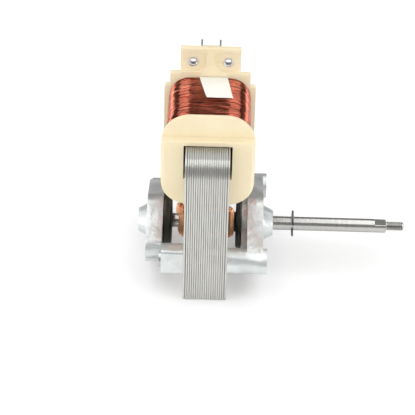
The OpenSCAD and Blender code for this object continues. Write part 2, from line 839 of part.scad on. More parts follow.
stator_core();
coil_core();
bobbin();
winding();
winding_tape();
terminal_left();
terminal_right();
eyelet_left();
eyelet_right();
shading_ring_front();
shading_ring_back();
output_bracket();
rear_bracket();
output_bearing();
rear_bearing();
output_felt();
rear_felt();
output_cap();
rear_cap();
through_screws();
rotor_core();
rotor_cage();
output_collar();
rear_collar();
thrust_washers();
shaft();
retaining_clip();
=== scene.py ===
"""Looks of the shaded-pole fan motor: sheets, wires, castings, shaft, light and camera."""

import json
import math
import random

import bmesh
import bpy
from mathutils import Matrix, Vector, noise


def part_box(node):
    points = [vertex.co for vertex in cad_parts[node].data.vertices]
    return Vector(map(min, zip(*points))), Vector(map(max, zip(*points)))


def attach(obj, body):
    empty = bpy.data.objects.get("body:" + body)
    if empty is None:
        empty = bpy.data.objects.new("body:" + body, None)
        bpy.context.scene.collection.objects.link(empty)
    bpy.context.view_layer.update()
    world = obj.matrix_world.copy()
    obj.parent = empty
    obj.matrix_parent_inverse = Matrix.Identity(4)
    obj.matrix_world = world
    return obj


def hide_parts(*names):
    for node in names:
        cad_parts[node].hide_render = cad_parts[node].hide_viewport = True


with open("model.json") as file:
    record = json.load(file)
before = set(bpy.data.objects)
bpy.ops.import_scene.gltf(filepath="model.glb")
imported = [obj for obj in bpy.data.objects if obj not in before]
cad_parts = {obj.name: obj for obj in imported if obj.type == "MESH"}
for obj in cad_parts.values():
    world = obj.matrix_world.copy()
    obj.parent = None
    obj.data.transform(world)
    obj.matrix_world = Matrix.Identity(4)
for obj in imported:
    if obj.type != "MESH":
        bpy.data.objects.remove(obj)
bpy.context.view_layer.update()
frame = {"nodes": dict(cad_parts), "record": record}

MM = 0.001

# Sizes are in millimetres, in the part's own frame. Shades are factors on a colour.

# Both stacks of sheets; a painted shade darkens the top END_L of all but the outermost faces
SHEET_COUNT = 20
SHEET_GAP = 0.15
SHEET_BEVEL = 0.16
SHEET_SLIP_Y = 0.05
SHEET_SLIP_Z = 0.03
TOP_PAINTED_SHADE = 0.62
END_L = 1.5

# Coil: even turns, loose turns that cross them, and a bed below both, dark with painted shade
WIRE_D = 0.56
WIRE_TURNS = 56
LOOSE_TURNS = 34
LOOSE_MARGIN = 0.9
TURN_STEPS = 84
WINDING_R = 9.6
WANDER = 0.5
SWELL = 0.2
BED_DEPTH = 0.8
BED_PAINTED_SHADE = (0.3, 0.24, 0.22, 1)

# Shading rings: round wire with a thick welded joint
RING_WIRE = 2.3
RING_BEND = 0.5
RING_JOINT = 3.4
JOINT_L = 2.6
JOINT_DENT = 0.08
RING_GAP = 0.3

# Shaft from the rear end to the threaded end
SHAFT_R = 3.0
SHAFT_FLAT = 1.1
SHAFT_FLAT_L = 5.0
GROOVE_R = 2.5
CLIP_X = 11.4
CLIP_SLOT = 0.74
THREAD_L = 7.7
THREAD_R = 2.08
THREAD_RELIEF = 0.3
THREAD_PITCH = 0.88
THREAD_PHASE = 0.25
THREAD_DEPTH = 0.52
THREAD_STEP = 0.05
# Painted shade: share by which the thread's grooves are darkened in the shaft's colour
GROOVE_PAINTED_SHADE = 0.6

# Tape: TAPE_FLAT is the share of its length that lies flat
TAPE_LEFT = 4.7
TAPE_LEAN = 3.5
TAPE_W = 12.1
TAPE_FRONT_W = 11.1
TAPE_THICK = 0.14
TAPE_CLEAR = 0.02
TAPE_LIFT = 0.45
TAPE_FLAT = 0.72
TAPE_CURVE = 1.6
TAPE_WAVE = 0.05

EYELET_HOLE = 1.4
EYELET_R = 2.25

# Copies of CAD nodes: points closer than WELD are joined, edges over SHARP_ANGLE degrees rounded
WELD = 0.002
SHARP_ANGLE = 40

# World light as plain surfaces, as reflections and as the camera meet it
WORLD_LIGHT = 0.24
WORLD_GLINT = 0.1
BACKDROP = 1.0
FLOOR_GLOW = 0.2


def span(node):
    """Lowest and highest corner of a CAD node, in millimetres."""
    low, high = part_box(node)
    return Vector(low) / MM, Vector(high) / MM


CORE_LOW, CORE_HIGH = span("stator_core")
WINDING_LOW, WINDING_HIGH = span("winding")
SHAFT_LOW, SHAFT_HIGH = span("shaft")
STACK_MID = (CORE_LOW.x + CORE_HIGH.x) / 2
FLOOR_Z = CORE_LOW.z


# Materials


def new_material(name):
    """New material with its nodes, its links and its shader."""
    material = bpy.data.materials.new(name)
    material.use_nodes = True
    nodes = material.node_tree.nodes
    return material, nodes, material.node_tree.links, nodes["Principled BSDF"]


def place(nodes):
    """Position in metres, which stays with the object."""
    return nodes.new("ShaderNodeTexCoord").outputs["Object"]


def stretched(nodes, links, scale):
    """Position with each axis scaled on its own, which draws a pattern out along the small ones."""
    mapping = nodes.new("ShaderNodeMapping")
    mapping.inputs["Scale"].default_value = scale
    links.new(place(nodes), mapping.inputs["Vector"])
    return mapping.outputs["Vector"]


def noise_node(nodes, links, vector, scale, detail=3.0, rough=0.5):
    """Noise from 0 to 1 at a position."""
    node = nodes.new("ShaderNodeTexNoise")
    node.inputs["Scale"].default_value = scale
    node.inputs["Detail"].default_value = detail
    node.inputs["Roughness"].default_value = rough
    links.new(vector, node.inputs["Vector"])
    return node.outputs["Fac"]


def ramp(nodes, links, source, stops):
    """Colour that runs through the stops, each a position and a colour."""
    node = nodes.new("ShaderNodeValToRGB")
    ramp_stops = node.color_ramp.elements
    while len(ramp_stops) < len(stops):
        ramp_stops.new(0.5)
    for stop, (where, color) in zip(ramp_stops, stops):
        stop.position = where
        stop.color = (*color, 1)
    links.new(source, node.inputs["Fac"])
    return node.outputs["Color"]


def spread(nodes, links, source, low, high):
    """Value from low to high as the source goes from 0 to 1."""
    node = nodes.new("ShaderNodeMapRange")
    node.inputs["To Min"].default_value = low
    node.inputs["To Max"].default_value = high
    links.new(source, node.inputs["Value"])
    return node.outputs["Result"]


def bump(nodes, links, bsdf, height, strength, distance):
    """Relief of the surface only, distance metres high."""
    node = nodes.new("ShaderNodeBump")
    node.inputs["Strength"].default_value = strength
    node.inputs["Distance"].default_value = distance
    links.new(height, node.inputs["Height"])
    links.new(node.outputs["Normal"], bsdf.inputs["Normal"])


def tinted(nodes, links, color):
    """Multiplies a colour by the tint that the mesh itself holds, which is random tone and, on some
    meshes, painted shade.
    """
    attribute = nodes.new("ShaderNodeAttribute")
    attribute.attribute_name = "tint"
    mix = nodes.new("ShaderNodeMix")
    mix.data_type = "RGBA"
    mix.blend_type = "MULTIPLY"
    mix.inputs["Factor"].default_value = 1.0
    links.new(color, mix.inputs["A"])
    links.new(attribute.outputs["Color"], mix.inputs["B"])
    return mix.outputs["Result"]


def sheet_steel():
    """Cut edges and faces of the sheets, with streaks along their height."""
    material, nodes, links, bsdf = new_material("sheet_steel")
    streaks = noise_node(nodes, links, stretched(nodes, links, (400, 60, 14)), 10, 4)
    color = ramp(
        nodes, links, streaks,
        [(0.3, (0.67, 0.665, 0.635)), (0.7, (0.86, 0.855, 0.815))],
    )
    links.new(tinted(nodes, links, color), bsdf.inputs["Base Color"])
    links.new(spread(nodes, links, streaks, 0.28, 0.4), bsdf.inputs["Roughness"])
    bsdf.inputs["Metallic"].default_value = 0.82
    grain = noise_node(nodes, links, stretched(nodes, links, (900, 500, 120)), 8, 2)
    bump(nodes, links, bsdf, grain, 0.25, 0.00003)
    return material


def cream_plastic():
    """Moulded plastic, slightly mottled and slightly translucent."""
    material, nodes, links, bsdf = new_material("cream_plastic")
    mottle = noise_node(nodes, links, place(nodes), 60, 3)
    color = ramp(
        nodes, links, mottle,
        [(0.3, (0.85, 0.735, 0.5)), (0.7, (0.9, 0.79, 0.56))],
    )
    links.new(color, bsdf.inputs["Base Color"])
    bsdf.inputs["Subsurface Weight"].default_value = 0.12
    bsdf.inputs["Subsurface Radius"].default_value = (0.004, 0.0025, 0.0012)
    bsdf.inputs["Subsurface Scale"].default_value = 0.5
    links.new(spread(nodes, links, mottle, 0.38, 0.5), bsdf.inputs["Roughness"])
    skin = noise_node(nodes, links, place(nodes), 900, 2)
    bump(nodes, links, bsdf, skin, 0.12, 0.00008)
    return material


def enamelled_wire():
    """Red-brown lacquer over metal, with fine strands that run round the coil."""
    material, nodes, links, bsdf = new_material("enamelled_wire")
    strands = noise_node(nodes, links, stretched(nodes, links, (0.1, 1, 0.1)), 700, 2)
    color = ramp(
        nodes, links, strands,
        [(0.3, (0.44, 0.085, 0.035)), (0.55, (0.66, 0.15, 0.075)), (0.75, (0.76, 0.22, 0.13))],
    )
    links.new(tinted(nodes, links, color), bsdf.inputs["Base Color"])
    bsdf.inputs["Metallic"].default_value = 1.0
    bsdf.inputs["Roughness"].default_value = 0.17
    bsdf.inputs["Coat Weight"].default_value = 0.8
    bsdf.inputs["Coat IOR"].default_value = 1.6
    bsdf.inputs["Coat Roughness"].default_value = 0.12
    bump(nodes, links, bsdf, strands, 0.4, 0.0004)
    return material


def white_tape():
    """Matt woven tape."""
    material, nodes, links, bsdf = new_material("white_tape")
    weave = noise_node(nodes, links, stretched(nodes, links, (1, 0.3, 1)), 2600, 2)
    color = ramp(
        nodes, links, weave,
        [(0.2, (0.86, 0.86, 0.8)), (0.8, (0.93, 0.93, 0.87))],
    )
    links.new(color, bsdf.inputs["Base Color"])
    bsdf.inputs["Roughness"].default_value = 0.62
    bump(nodes, links, bsdf, weave, 0.25, 0.00005)
    return material


def bare_metal(name, dark, light, roughness, grain, metallic=1.0):
    """Metal that is patchy between two colours and between two roughnesses."""
    material, nodes, links, bsdf = new_material(name)
    patches = noise_node(nodes, links, place(nodes), grain)
    links.new(ramp(nodes, links, patches, [(0.3, dark), (0.7, light)]), bsdf.inputs["Base Color"])
    bsdf.inputs["Metallic"].default_value = metallic
    low, high = roughness
    links.new(spread(nodes, links, patches, low, high), bsdf.inputs["Roughness"])
    fine = noise_node(nodes, links, place(nodes), grain * 6, 2)
    bump(nodes, links, bsdf, fine, 0.3, 0.00004)
    return material


def cast_aluminium():
    """Cast metal with soft diagonal folds and a rough skin."""
    material, nodes, links, bsdf = new_material("cast_aluminium")
    flow = noise_node(nodes, links, place(nodes), 130, 4, 0.6)
    color = ramp(
        nodes, links, flow,
        [(0.25, (0.64, 0.67, 0.665)), (0.5, (0.78, 0.81, 0.805)), (0.75, (0.88, 0.91, 0.905))],
    )
    links.new(color, bsdf.inputs["Base Color"])
    bsdf.inputs["Metallic"].default_value = 0.6
    links.new(spread(nodes, links, flow, 0.26, 0.42), bsdf.inputs["Roughness"])
    folds = nodes.new("ShaderNodeTexWave")
    folds.bands_direction = "DIAGONAL"
    folds.inputs["Scale"].default_value = 22
    folds.inputs["Distortion"].default_value = 5
    folds.inputs["Detail"].default_value = 3
    folds.inputs["Detail Scale"].default_value = 1.6
    links.new(place(nodes), folds.inputs["Vector"])
    skin = noise_node(nodes, links, place(nodes), 300, 5, 0.65)
    both = nodes.new("ShaderNodeMix")
    both.inputs["Factor"].default_value = 0.35
    links.new(folds.outputs["Fac"], both.inputs["A"])
    links.new(skin, both.inputs["B"])
    bump(nodes, links, bsdf, both.outputs["Result"], 0.5, 0.0018)
    return material


def ground_steel():
    """Ground shaft with fine lines round it."""
    material, nodes, links, bsdf = new_material("ground_steel")
    lines = noise_node(nodes, links, stretched(nodes, links, (1, 0.02, 0.02)), 3500, 2)
    color = ramp(
        nodes, links, lines,
        [(0.3, (0.58, 0.575, 0.555)), (0.7, (0.72, 0.715, 0.69))],
    )
    links.new(tinted(nodes, links, color), bsdf.inputs["Base Color"])
    bsdf.inputs["Metallic"].default_value = 0.85
    bsdf.inputs["Specular Tint"].default_value = (0.5, 0.5, 0.49, 1)
    links.new(spread(nodes, links, lines, 0.2, 0.3), bsdf.inputs["Roughness"])
    bump(nodes, links, bsdf, lines, 0.2, 0.00002)
    return material


def soft_material(name, dark, light, scale, roughness):
    """Felt or plastic with a fine pattern."""
    material, nodes, links, bsdf = new_material(name)
    fuzz = noise_node(nodes, links, place(nodes), scale, 4, 0.7)
    links.new(ramp(nodes, links, fuzz, [(0.3, dark), (0.7, light)]), bsdf.inputs["Base Color"])
    bsdf.inputs["Roughness"].default_value = roughness
    bump(nodes, links, bsdf, fuzz, 0.4, 0.0001)
    return material


MATERIALS = {
    "core_steel": sheet_steel(),
    "bobbin_plastic": cream_plastic(),
    "enamelled_wire": enamelled_wire(),
    "tape": white_tape(),
    "tinned_brass": bare_metal(
        "tinned_brass", (0.74, 0.74, 0.75), (0.88, 0.88, 0.88), (0.24, 0.36), 300, 0.8
    ),
    "copper": bare_metal(
        "copper", (0.8, 0.32, 0.15), (0.95, 0.56, 0.32), (0.26, 0.4), 260
    ),
    "cast_aluminium": cast_aluminium(),
    "sintered_bronze": bare_metal(
        "sintered_bronze", (0.36, 0.22, 0.1), (0.5, 0.33, 0.17), (0.45, 0.6), 500
    ),
    "felt": soft_material("felt", (0.5, 0.45, 0.36), (0.66, 0.6, 0.5), 900, 0.9),
    "black_sheet": bare_metal(
        "black_sheet", (0.03, 0.031, 0.024), (0.06, 0.062, 0.048), (0.26, 0.38), 240, 0.4
    ),
    "screw_steel": bare_metal(
        "screw_steel", (0.55, 0.56, 0.58), (0.7, 0.7, 0.7), (0.28, 0.4), 240
    ),
    "rotor_steel": bare_metal(
        "rotor_steel", (0.25, 0.25, 0.25), (0.38, 0.38, 0.375), (0.35, 0.5), 200
    ),
    "black_plastic": soft_material(
        "black_plastic", (0.01, 0.01, 0.01), (0.022, 0.022, 0.022), 500, 0.4
    ),
    "shaft_steel": ground_steel(),
    "spring_steel": bare_metal(
        "spring_steel", (0.1, 0.1, 0.11), (0.2, 0.2, 0.21), (0.3, 0.42), 300
    ),
}


# Pieces

SLOT_OF = {part["node"]: part["material_slot"] for part in frame["record"]["subparts"]}
BODY_OF = {
    node: body
    for body, nodes in frame["record"]["behaviour"]["bodies"].items()
    for node in nodes
}


def add_piece(name, mesh, node):
    """Puts a mesh into the scene on the body and in the material of a CAD node."""
    piece = bpy.data.objects.new(name, mesh)
    bpy.context.scene.collection.objects.link(piece)
    mesh.materials.clear()
    mesh.materials.append(MATERIALS[SLOT_OF[node]])
    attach(piece, BODY_OF[node])
    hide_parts(node)
    return piece


def mesh_from(name, verts, faces, tints=None):
    """Mesh from points in millimetres, with an optional tint for each point."""
    mesh = bpy.data.meshes.new(name)
    mesh.from_pydata([Vector(v) * MM for v in verts], [], faces)
    mesh.validate()
    for face in mesh.polygons:
        face.use_smooth = True
    if tints:
        layer = mesh.color_attributes.new("tint", "FLOAT_COLOR", "POINT")
        for value, tint in zip(layer.data, tints):
            value.color = (*tint, 1)
    return mesh


def clean_copy(node):
    """Welded copy of a CAD node's mesh, with its flat faces merged."""
    bm = bmesh.new()
    bm.from_mesh(frame["nodes"][node].data)
    bmesh.ops.remove_doubles(bm, verts=bm.verts, dist=WELD * MM)
    bmesh.ops.dissolve_limit(
        bm, angle_limit=math.radians(0.5), verts=bm.verts, edges=bm.edges
    )
    return bm


def smooth_by_angle(bm, angle):
    """Smooth shading, broken at edges over angle degrees."""
    for face in bm.faces:
        face.smooth = True
    for edge in bm.edges:
        edge.smooth = edge.calc_face_angle(0) < math.radians(angle)


def dress(node, edge, segments=2):
    """Copy of a CAD node with its sharp edges rounded by edge millimetres."""
    bm = clean_copy(node)
    sharp = [e for e in bm.edges if e.calc_face_angle(0) > math.radians(SHARP_ANGLE)]
    bmesh.ops.bevel(
        bm, geom=sharp, offset=edge * MM, offset_type="OFFSET",
        segments=segments, profile=0.5, affect="EDGES", clamp_overlap=True,
    )
    smooth_by_angle(bm, SHARP_ANGLE)
    mesh = bpy.data.meshes.new(node + "_skin")
    bm.to_mesh(mesh)
    bm.free()
    return add_piece(node + "_skin", mesh, node)


def lathe(profile, steps, closed=False):
    """Points and faces of a body turned about the X axis, from (x, radius) pairs."""
    verts, faces = [], []
    for x, r in profile:
        for k in range(steps):
            turn = 2 * math.pi * k / steps
            verts.append((x, r * math.cos(turn), r * math.sin(turn)))
    rings = len(profile)
    for i in range(rings if closed else rings - 1):
        a, b = i * steps, ((i + 1) % rings) * steps
        for k in range(steps):
            n = (k + 1) % steps
            faces.append((a + k, b + k, b + n, a + n))
    if not closed:
        faces.append(tuple(range(steps)))
        faces.append(tuple(reversed(range((rings - 1) * steps, rings * steps))))
    return verts, faces


def sweep(path, radius, sides):
    """Points and faces of a round tube along a closed path of points."""
    verts, faces = [], []
    count = len(path)
    for i, point in enumerate(path):
        along = (Vector(path[(i + 1) % count]) - Vector(path[i - 1])).normalized()
        side = along.cross(Vector((0, 1, 0)))
        side.normalize()
        up = side.cross(along)
        for k in range(sides):
            turn = 2 * math.pi * k / sides
            out = math.cos(turn) * side + math.sin(turn) * up
            verts.append(tuple(Vector(point) + radius * out))
    for i in range(count):
        a, b = i * sides, ((i + 1) % count) * sides
        for k in range(sides):
            n = (k + 1) % sides
            faces.append((a + k, a + n, b + n, b + k))
    return verts, faces


def rounded_loop(half_w, half_h, r, steps):
    """Points (x, z) and outward directions round a rounded rectangle."""
    straight_w, straight_h = 2 * (half_w - r), 2 * (half_h - r)
    arc = math.pi * r / 2
    total = 2 * (straight_w + straight_h) + 4 * arc
    corners = [(1, 1), (1, -1), (-1, -1), (-1, 1)]
    points = []
    for i in range(steps):
        s = total * i / steps
        for k, (cx, cz) in enumerate(corners):
            flat = straight_w if k % 2 == 0 else straight_h
            heading = -math.pi / 2 * k
            dx, dz = math.cos(heading), math.sin(heading)
            nx, nz = -dz, dx
            ox, oz = cx * (half_w - r), cz * (half_h - r)
            if s < flat:
                x = ox + nx * r + dx * (s - flat)
                z = oz + nz * r + dz * (s - flat)
                points.append((x, z, nx, nz))
                break
            s -= flat
            if s < arc:
                a = heading + math.pi / 2 - s / r
                nx, nz = math.cos(a), math.sin(a)
                points.append((ox + r * nx, oz + r * nz, nx, nz))
                break
            s -= arc
    return points


def laminate(node, name, sheets):
    """Stack of separate sheets, each cut to the end face of a CAD node."""
    source = frame["nodes"][node].data
    low, high = span(node)
    end = high.x * MM
    pitch = (high.x - low.x) / sheets
    rng = random.Random(11)
    whole = bmesh.new()
    tint = whole.verts.layers.float_color.new("tint")
    face_points = [
        [source.vertices[v].co for v in face.vertices]
        for face in source.polygons
        if all(abs(source.vertices[v].co.x - end) < 1e-6 for v in face.vertices)
    ]
    for k in range(sheets):
        bm = bmesh.new()
        x0 = (low.x + k * pitch + SHEET_GAP / 2) * MM
        slip_y = rng.uniform(-SHEET_SLIP_Y, SHEET_SLIP_Y)
        slip_z = rng.uniform(-SHEET_SLIP_Z, SHEET_SLIP_Z)
        shift = Vector((0, slip_y * MM, slip_z * MM))
        # The outermost sheets are moved out to the sides of the CAD node
        if k == 0:
            x0 -= SHEET_GAP / 2 * MM
        elif k == sheets - 1:
            x0 += SHEET_GAP / 2 * MM
        for points in face_points:
            corners = [Vector((x0, p.y, max(p.z, CORE_LOW.z * MM))) + shift for p in points]
            bm.faces.new([bm.verts.new(corner) for corner in corners])
        bmesh.ops.remove_doubles(bm, verts=bm.verts, dist=WELD * MM)
        bmesh.ops.dissolve_limit(bm, angle_limit=0.01, verts=bm.verts, edges=bm.edges)
        grown = bmesh.ops.extrude_face_region(bm, geom=list(bm.faces))
        for v in [g for g in grown["geom"] if isinstance(g, bmesh.types.BMVert)]:
            v.co.x += (pitch - SHEET_GAP) * MM
        bmesh.ops.recalc_face_normals(bm, faces=bm.faces)
        edges = [
            e for e in bm.edges
            if len(e.link_faces) == 2
            and abs(abs(e.link_faces[0].normal.x) - abs(e.link_faces[1].normal.x)) > 0.9
        ]
        bmesh.ops.bevel(
            bm, geom=edges, offset=SHEET_BEVEL * MM, offset_type="OFFSET",
            segments=2, profile=0.5, affect="EDGES", clamp_overlap=True,
        )
        shade = rng.uniform(0.9, 1.0)
        own = bm.verts.layers.float_color.new("tint")
        for v in bm.verts:
            v[own] = (shade, shade, shade * rng.uniform(0.995, 1.0), 1)
        part = bpy.data.meshes.new("sheet")
        bm.to_mesh(part)
        bm.free()
        whole.from_mesh(part)
        bpy.data.meshes.remove(part)
    for v in whole.verts:
        v.co.z = max(v.co.z, CORE_LOW.z * MM)
        # Painted shade: the sheets' tops are darkened in their tint, all but the outermost faces
        inside = low.x + 0.01 < v.co.x / MM < high.x - 0.01
        if inside and v.co.z > (high.z - END_L) * MM:
            v[tint] = Vector(v[tint]) * TOP_PAINTED_SHADE
    smooth_by_angle(whole, 35)
    mesh = bpy.data.meshes.new(name)
    whole.to_mesh(mesh)
    whole.free()
    add_piece(name, mesh, node)


def wire_turn(y0, advance, lift, rng):
    """One closed turn of wire round the coil, with its own wander."""
    half_w = (WINDING_HIGH.x - WINDING_LOW.x) / 2 - WIRE_D / 2 + lift
    half_h = (WINDING_HIGH.z - WINDING_LOW.z) / 2 - WIRE_D / 2 + lift
    mid_z = (WINDING_HIGH.z + WINDING_LOW.z) / 2
    seed = rng.uniform(0, 100)
    path = []
    loop = rounded_loop(half_w, half_h, WINDING_R - WIRE_D / 2 + lift, TURN_STEPS)
    for i, (x, z, nx, nz) in enumerate(loop):
        turn = 2 * math.pi * i / TURN_STEPS
        wander = noise.noise((math.cos(turn) * 1.8 + seed, math.sin(turn) * 1.8, seed))
        sway = noise.noise((math.cos(turn) * 4 - seed, math.sin(turn) * 4, seed * 2))
        y = y0 + advance * math.sin(turn) + WANDER * wander
        swell = SWELL * (sway - 0.6)
        path.append((STACK_MID + x + nx * swell, y, mid_z + z + nz * swell))
    return path


def make_winding():
    """Outer turns of the coil over a bed of the turns below, dark with painted shade."""
    rng = random.Random(5)
    low_y = WINDING_LOW.y + WIRE_D / 2
    run = WINDING_HIGH.y - WIRE_D / 2 - low_y
    verts, faces, tints = [], [], []

    def add_turn(y, advance, lift, shade):
        path = wire_turn(y, advance, lift, rng)
        points, quads = sweep(path, WIRE_D / 2, 8)
        start = len(verts)
        for p in points:
            verts.append((p[0], min(max(p[1], WINDING_LOW.y), WINDING_HIGH.y), p[2]))
        faces.extend(tuple(start + i for i in q) for q in quads)
        tints.extend([shade] * len(points))

    for k in range(WIRE_TURNS):
        y = low_y + run * k / (WIRE_TURNS - 1)
        s = rng.uniform(0.6, 1.0)
        advance = rng.uniform(-0.12, 0.12)
        add_turn(y, advance, rng.uniform(-0.25, -0.05), (s, s * 0.96, s * 0.94))
    loose_run = run - 2 * LOOSE_MARGIN
    for k in range(LOOSE_TURNS):
        y = low_y + LOOSE_MARGIN + loose_run * (k + rng.uniform(0.1, 0.9)) / LOOSE_TURNS
        s = rng.uniform(0.7, 1.2)
        advance = rng.uniform(-1.5, 1.5)
        add_turn(y, advance, rng.uniform(-0.08, 0.0), (s, s, s))
    add_piece("coil_wires", mesh_from("coil_wires", verts, faces, tints), "winding")

    bed = dress("winding", 0.3)
    bed.name = "coil_bed"
    # Painted shade: the bed of lower turns takes a dark tint for the shade under the outer turns
    layer = bed.data.color_attributes.new("tint", "FLOAT_COLOR", "POINT")
    for value in layer.data:
        value.color = BED_PAINTED_SHADE
    centre = (WINDING_LOW + WINDING_HIGH) / 2 * MM
    half = (WINDING_HIGH - WINDING_LOW) / 2
    for v in bed.data.vertices:
        away = v.co - centre
        if abs(away.x) > half.x * 0.8 * MM or abs(away.z) > half.z * 0.75 * MM:
            v.co.x = centre.x + away.x * (1 - BED_DEPTH / half.x)
            v.co.z = centre.z + away.z * (1 - BED_DEPTH / half.z)


def make_tape():
    """Strip of blank tape that lies on the wires and lifts at its free end."""
    low, high = span("winding_tape")
    x_back = STACK_MID - TAPE_LEFT
    rows, columns = 28, 16
    verts, faces = [], []
    for layer in (0, 1):
        for j in range(rows + 1):
            t = j / rows
            y = high.y - t * (high.y - low.y)
            width = TAPE_W + (TAPE_FRONT_W - TAPE_W) * t
            rise = (max(0.0, t - TAPE_FLAT) / (1 - TAPE_FLAT)) ** TAPE_CURVE
            for i in range(columns + 1):
                u = i / columns
                x = x_back + TAPE_LEAN * t + width * u
                wave = TAPE_WAVE * noise.noise((x * 0.5, y * 2.2, 3.0))
                lift = TAPE_LIFT * rise * (0.75 + 0.35 * (1 - u))
                z = WINDING_HIGH.z + TAPE_CLEAR + wave + lift + TAPE_THICK * layer
                verts.append((x, y, z))
    stride = columns + 1
    top = (rows + 1) * stride
    for j in range(rows):
        for i in range(columns):
            a = j * stride + i
            faces.append((a, a + stride, a + stride + 1, a + 1))
            b = top + a
            faces.append((b, b + 1, b + stride + 1, b + stride))
    for i in range(columns):
        faces.append((i, i + 1, top + i + 1, top + i))
        a = rows * stride + i
        faces.append((a, top + a, top + a + 1, a + 1))
    for j in range(rows):
        a = j * stride
        faces.append((a, top + a, top + a + stride, a + stride))
        b = a + columns
        faces.append((b, b + stride, top + b + stride, top + b))
    add_piece("tape_strip", mesh_from("tape_strip", verts, faces), "winding_tape")


def make_eyelet(node):
    """Hollow rivet with a rolled rim."""
    low, high = span(node)
    centre_x, centre_z = (low.x + high.x) / 2, (low.z + high.z) / 2
    hole, rim = EYELET_HOLE, EYELET_R
    outline = [
        (low.y + 0.5, hole), (low.y + 0.2, hole + 0.12), (low.y + 0.04, hole + 0.34),
        (low.y, hole + 0.5), (low.y + 0.05, rim - 0.15), (low.y + 0.2, rim),
        (low.y + 0.38, rim - 0.08), (low.y + 0.4, hole + 0.4),
        (high.y - 0.35, hole + 0.4), (high.y - 0.3, rim - 0.15),
        (high.y - 0.05, rim - 0.2), (high.y, hole + 0.3), (high.y - 0.15, hole),
    ]
    verts, faces = lathe(outline, 48, closed=True)
    turned = [(centre_x + p[1], p[0], centre_z + p[2]) for p in verts]
    add_piece(node + "_rivet", mesh_from(node + "_rivet", turned, faces), node)


def make_shading_ring(node, up):
    """Copper ring of round wire with soft bends, welded at the end of its far run."""
    low, high = span(node)
    y = (low.y + high.y) / 2
    r = RING_WIRE / 2
    rise = JOINT_L - r
    x1 = high.x - r
    x0 = CORE_LOW.x - RING_GAP - r
    half_w, half_h = (x1 - x0) / 2, (high.z - low.z - rise) / 2 - r
    mid_x, mid_z = (x0 + x1) / 2, (low.z + high.z - up * rise) / 2
    loop = rounded_loop(half_w, half_h, r + RING_BEND, 120)
    path = [(mid_x + x, y, mid_z + z) for x, z, _, _ in loop]
    verts, faces = sweep(path, r, 16)
    joint_r = RING_JOINT / 2
    joint_x = x0 - joint_r + r
    joint_z = (high.z if up > 0 else low.z) - up * (joint_r + JOINT_L / 2)
    outline = []
    for k in range(13):
        turn = math.pi * k / 12
        shift = -JOINT_L / 2 if k < 7 else JOINT_L / 2
        outline.append((shift - joint_r * math.cos(turn), max(0.05, joint_r * math.sin(turn))))
    blob, blob_faces = lathe(outline, 32)
    start = len(verts)
    for p in blob:
        dent = 1 - JOINT_DENT * abs(noise.noise((p[0] * 0.9, p[1] * 0.9, p[2] * 0.9)))
        verts.append((joint_x + p[1] * dent, y + p[2] * dent, joint_z + p[0]))
    faces += [tuple(start + i for i in f) for f in blob_faces]
    add_piece(node + "_wire", mesh_from(node + "_wire", verts, faces), node)


def make_shaft():
    """Ground shaft with a clip groove, a flat and a cut thread.

    Each row is a place on the axis, a radius and whether the flat cuts it. The
    thread's rows have no radius of their own, as it changes round the turn.
    """
    steps = 96
    end = SHAFT_HIGH.x
    point_l = 0.7
    shoulder = end - THREAD_L
    flat_from = shoulder - SHAFT_FLAT_L
    slot0, slot1 = CLIP_X - CLIP_SLOT / 2, CLIP_X + CLIP_SLOT / 2
    root_r = THREAD_R - THREAD_RELIEF
    rows = [
        (SHAFT_LOW.x, SHAFT_R - 0.5, 0), (SHAFT_LOW.x + 0.45, SHAFT_R - 0.04, 0),
        (SHAFT_LOW.x + 0.6, SHAFT_R, 0), (slot0 - 0.06, SHAFT_R, 0), (slot0, SHAFT_R - 0.06, 0),
        (slot0, GROOVE_R, 0), (slot1, GROOVE_R, 0), (slot1, SHAFT_R - 0.06, 0),
        (slot1 + 0.06, SHAFT_R, 0), (flat_from, SHAFT_R, 0), (flat_from, SHAFT_R, 1),
        (shoulder - 0.3, SHAFT_R, 1), (shoulder - 0.02, SHAFT_R - 0.28, 1),
        (shoulder, SHAFT_R - 0.34, 1), (shoulder, root_r, 0), (shoulder + 0.45, root_r, 0),
    ]
    x = shoulder + 0.5
    while x < end - 0.02:
        rows.append((x, None, 0))
        x += THREAD_STEP
    rows.append((end, THREAD_R - 0.75, 0))
    verts, faces, tints = [], [], []
    for x, r, flat in rows:
        for k in range(steps):
            turn = 2 * math.pi * k / steps
            ridge = 1.0
            if r is None:
                phase = (x / THREAD_PITCH - k / steps + THREAD_PHASE) % 1.0
                ridge = min(1.0, max(0.0, 1.8 - abs(phase - 0.5) * 4.8))
                depth = THREAD_DEPTH * (1 - ridge)
                taper = max(0.0, x - (end - point_l)) * 0.95
                radius = min(THREAD_R - depth, THREAD_R - taper)
            else:
                radius = r
            y, z = radius * math.cos(turn), radius * math.sin(turn)
            if flat:
                z = min(z, SHAFT_R - SHAFT_FLAT)
            verts.append((x, y, z))
            # Painted shade: the grooves of the thread are darkened in the tint
            shade = 1 - GROOVE_PAINTED_SHADE * (1 - ridge)
            tints.append((shade, shade, shade))
    for i in range(len(rows) - 1):
        a, b = i * steps, (i + 1) * steps
        for k in range(steps):
            n = (k + 1) % steps
            faces.append((a + k, b + k, b + n, a + n))
    faces.append(tuple(range(steps)))
    faces.append(tuple(reversed(range((len(rows) - 1) * steps, len(rows) * steps))))
    mesh = mesh_from("shaft_turned", verts, faces, tints)
    bm = bmesh.new()
    bm.from_mesh(mesh)
    bmesh.ops.recalc_face_normals(bm, faces=bm.faces)
    smooth_by_angle(bm, 32)
    bm.to_mesh(mesh)
    bm.free()
    add_piece("shaft_turned", mesh, "shaft")


